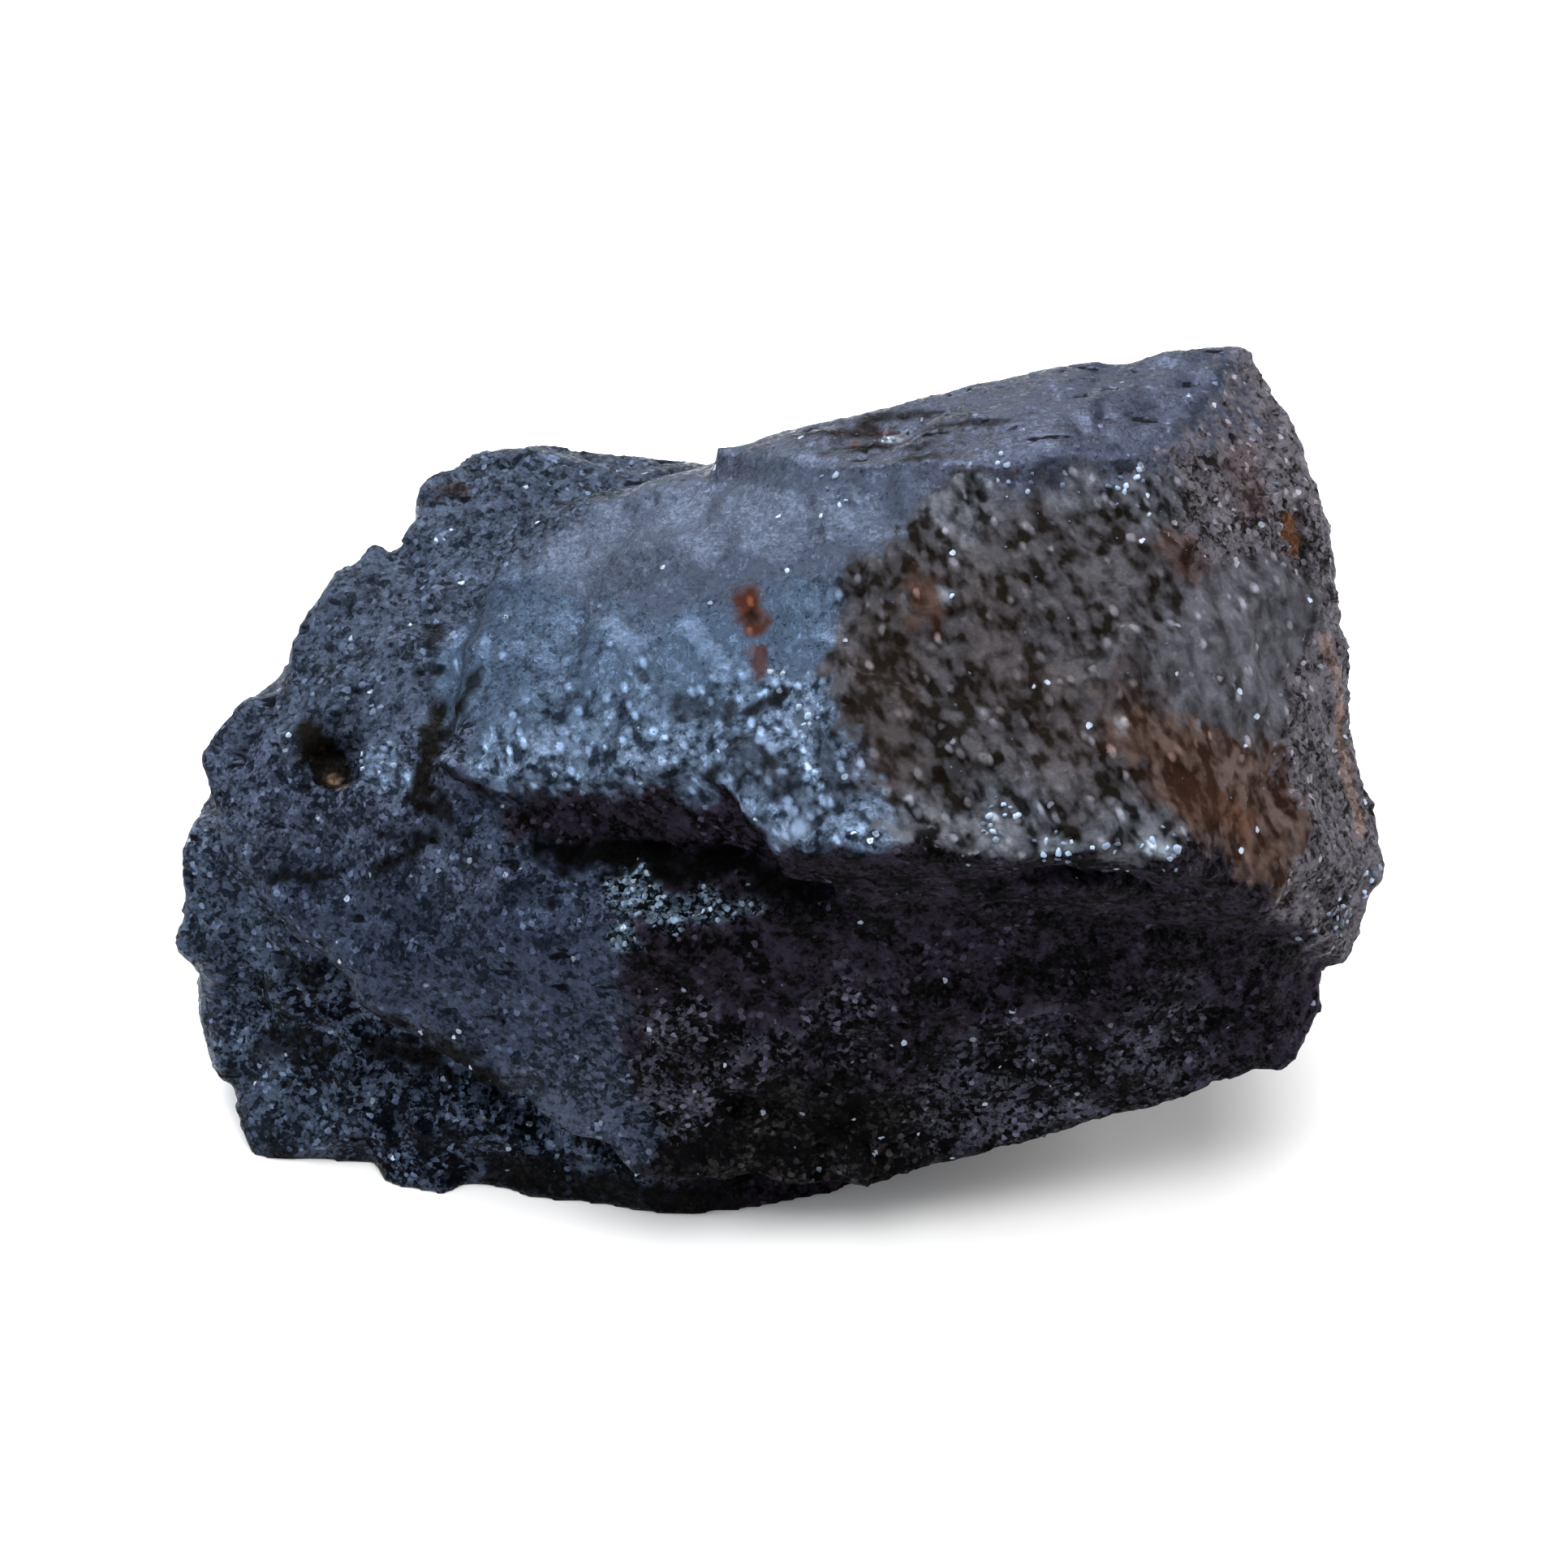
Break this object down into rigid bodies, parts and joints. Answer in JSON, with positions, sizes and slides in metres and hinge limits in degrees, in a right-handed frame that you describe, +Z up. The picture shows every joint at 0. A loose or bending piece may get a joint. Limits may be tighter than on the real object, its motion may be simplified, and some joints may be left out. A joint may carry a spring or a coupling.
{
  "type": "magnetite specimen",
  "caption": "Hand-sized lump of dark granular magnetite, broken on all sides, with an overhanging brow, ledges, cracks, pits and a flat base to rest on.",
  "frame": {"origin": "on the flat resting face at z = 0, under the middle of the stone's bounding box", "axes": "+X along the stone's long way towards its taller end, -Y towards the front with the overhanging brow, +Z up"},
  "size_m": [0.0688, 0.0396, 0.0404],
  "materials": {
    "magnetite": "granular broken mineral, half-metallic shine, with glinting grains and rust-brown patches"
  },
  "bodies": {
    "root": {"magnetite_stone": "magnetite"}
  },
  "joints": []
}
